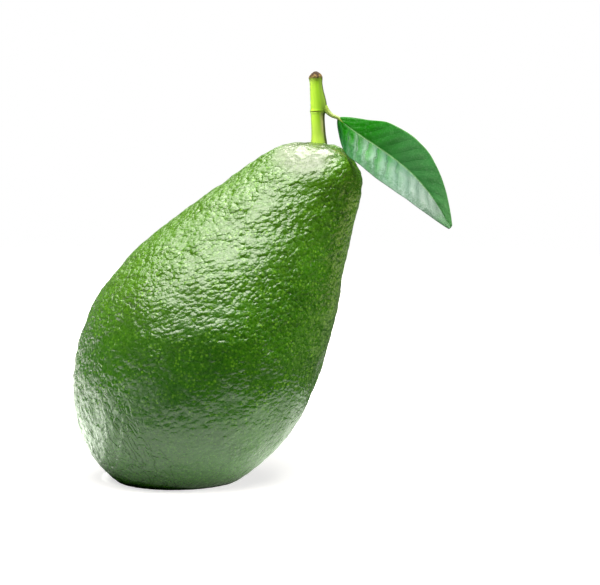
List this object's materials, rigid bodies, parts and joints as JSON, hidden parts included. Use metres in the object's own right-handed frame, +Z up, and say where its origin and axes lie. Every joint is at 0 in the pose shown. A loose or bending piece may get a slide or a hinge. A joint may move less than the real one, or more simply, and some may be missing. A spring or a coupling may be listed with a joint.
{
  "type": "whole avocado with stalk and leaf",
  "caption": "Pear-shaped green avocado with pebbled skin, a cut stalk standing on its neck and a small folded leaf; stands leaning on a flat spot under its belly.",
  "frame": {"origin": "centre of the flat resting spot under the belly", "axes": "+Z up, away from the resting spot; the fruit leans towards +X and a little towards +Y; the leaf hangs to +X with its upper face towards -Y"},
  "size_m": [0.1136, 0.0707, 0.122],
  "materials": {
    "skin": "green avocado skin, finely pebbled, waxy and semi-gloss, with tiny pale yellow-green dots",
    "stalk": "smooth young yellow-green bark with a thin brown ring and a dried brown cut end",
    "leaf": "leathery dark green leaf with a waxy sheen, paler midrib and side veins, and a paler underside"
  },
  "bodies": {
    "root": {"fruit": "skin", "stalk": "stalk", "leaf": "leaf"}
  },
  "joints": []
}
